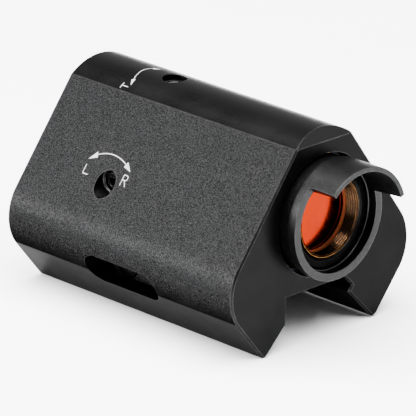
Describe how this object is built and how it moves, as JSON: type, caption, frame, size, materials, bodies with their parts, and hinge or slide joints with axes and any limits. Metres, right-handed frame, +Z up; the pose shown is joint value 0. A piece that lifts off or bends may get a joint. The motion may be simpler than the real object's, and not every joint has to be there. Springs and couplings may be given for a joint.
{
  "type": "red dot finder",
  "caption": "Compact red dot finder: one-piece housing over a rail groove, with a tilting optical tube, a hooded front lens, two recessed aiming screws and a cross-bolted clamp jaw.",
  "frame": {"origin": "centre of the rail groove's ceiling, the face that rests on top of the rail", "axes": "+Z up, away from the rail; -Y to the front, where the hood is; +X to the right seen from the front, the side of the battery cap"},
  "size_m": [0.0582, 0.0849, 0.0504],
  "materials": {
    "anodised": "fine bead-blasted black anodising",
    "black_screw": "black oxide on turned steel",
    "brass": "turned brass",
    "spring_steel": "blued spring steel",
    "cell_steel": "nickel-plated pressed steel",
    "coated_lens": "glass with an orange-red reflecting coating",
    "clear_glass": "clear coated glass",
    "emitter_lens": "red epoxy",
    "black_rubber": "matt moulded rubber",
    "amber_seal": "thin orange gasket",
    "circuit_board": "green solder mask",
    "black_plastic": "moulded plastic",
    "mask_foil": "etched foil",
    "insulator": "amber insulating film",
    "lead_sleeve": "red insulation"
  },
  "bodies": {
    "housing": {"housing": "anodised", "rear_bezel": "anodised", "snap_ring": "spring_steel", "leaf_spring": "spring_steel", "coin_cell": "cell_steel", "battery_contact": "brass", "contact_insulator": "insulator", "supply_lead": "lead_sleeve", "driver_board": "circuit_board", "tact_switch": "black_plastic", "button_bezel": "anodised"},
    "pivot_ring": {"pivot_ring": "brass"},
    "optical_tube": {"optical_tube": "anodised", "hood_seal": "black_rubber", "front_retainer": "brass", "lens_seal": "amber_seal", "front_lens": "coated_lens", "rear_window": "clear_glass", "window_seal": "black_rubber", "rear_retainer": "anodised", "emitter_holder": "black_plastic", "emitter_board": "circuit_board", "emitter": "emitter_lens", "reticle_mask": "mask_foil", "emitter_lead": "lead_sleeve"},
    "hood": {"hood": "anodised"},
    "windage_pad": {"windage_pad": "brass"},
    "windage_screw": {"windage_screw": "black_screw"},
    "elevation_pad": {"elevation_pad": "brass"},
    "elevation_screw": {"elevation_screw": "black_screw"},
    "clamp_jaw": {"clamp_jaw": "anodised"},
    "clamp_screw_front": {"clamp_screw_front": "black_screw"},
    "clamp_screw_rear": {"clamp_screw_rear": "black_screw"},
    "cap_seal": {"cap_seal": "black_rubber"},
    "battery_cap": {"battery_cap": "anodised"},
    "power_button": {"power_button": "black_rubber"}
  },
  "joints": [
    {"name": "windage_travel", "type": "slide", "parent": "housing", "child": "windage_pad", "axis": [1, 0, 0], "range_m": [-0.0007, 0.0007]},
    {"name": "windage_screw_turn", "type": "hinge", "parent": "windage_pad", "child": "windage_screw", "pos_m": [-0.0176, 0.0111, 0.01735], "axis": [1, 0, 0], "range_deg": [-721, 721]},
    {"name": "elevation_travel", "type": "slide", "parent": "housing", "child": "elevation_pad", "axis": [0, 0, -1], "range_m": [-0.0007, 0.0007]},
    {"name": "elevation_screw_turn", "type": "hinge", "parent": "elevation_pad", "child": "elevation_screw", "pos_m": [0, 0.0111, 0.033], "axis": [0, 0, -1], "range_deg": [-721, 721]},
    {"name": "tube_yaw", "type": "hinge", "parent": "housing", "child": "pivot_ring", "pos_m": [0, -0.0287, 0.01735], "axis": [0, 0, -1], "range_deg": [-1.02, 1.02]},
    {"name": "tube_pitch", "type": "hinge", "parent": "pivot_ring", "child": "optical_tube", "pos_m": [0, -0.0287, 0.01735], "axis": [-1, 0, 0], "range_deg": [-1.02, 1.02], "deforming": ["leaf_spring"]},
    {"name": "hood_turn", "type": "hinge", "parent": "optical_tube", "child": "hood", "pos_m": [0, -0.0363, 0.01735], "axis": [0, 1, 0], "continuous": true},
    {"name": "clamp_travel", "type": "slide", "parent": "housing", "child": "clamp_jaw", "axis": [1, 0, 0], "range_m": [0, 0.0019]},
    {"name": "clamp_screw_front_turn", "type": "hinge", "parent": "clamp_jaw", "child": "clamp_screw_front", "pos_m": [-0.0204, -0.005, -0.001], "axis": [1, 0, 0], "range_deg": [0, 978.14]},
    {"name": "clamp_screw_rear_turn", "type": "hinge", "parent": "clamp_jaw", "child": "clamp_screw_rear", "pos_m": [-0.0204, 0.005, -0.001], "axis": [1, 0, 0], "range_deg": [0, 978.14]},
    {"name": "cap_travel", "type": "slide", "parent": "housing", "child": "cap_seal", "axis": [1, 0, 0], "range_m": [0, 0.00225]},
    {"name": "battery_cap_turn", "type": "hinge", "parent": "cap_seal", "child": "battery_cap", "pos_m": [0.024, 0, 0.0046], "axis": [1, 0, 0], "range_deg": [0, 1081]},
    {"name": "button_press", "type": "slide", "parent": "housing", "child": "power_button", "axis": [-0.8, 0, -0.6], "range_m": [0, 0.0005], "stiffness_N_per_m": 3000, "springref_m": -0.0004}
  ],
  "couplings": [
    {"joint": "windage_screw_turn", "follows": "windage_travel", "rad_per_m": 17952},
    {"joint": "tube_yaw", "follows": "windage_travel", "rad_per_m": 25.126},
    {"joint": "elevation_screw_turn", "follows": "elevation_travel", "rad_per_m": 17952},
    {"joint": "tube_pitch", "follows": "elevation_travel", "rad_per_m": 25.126},
    {"joint": "clamp_screw_front_turn", "follows": "clamp_travel", "rad_per_m": 8976},
    {"joint": "clamp_screw_rear_turn", "follows": "clamp_travel", "rad_per_m": 8976},
    {"joint": "battery_cap_turn", "follows": "cap_travel", "rad_per_m": 8377.6}
  ]
}
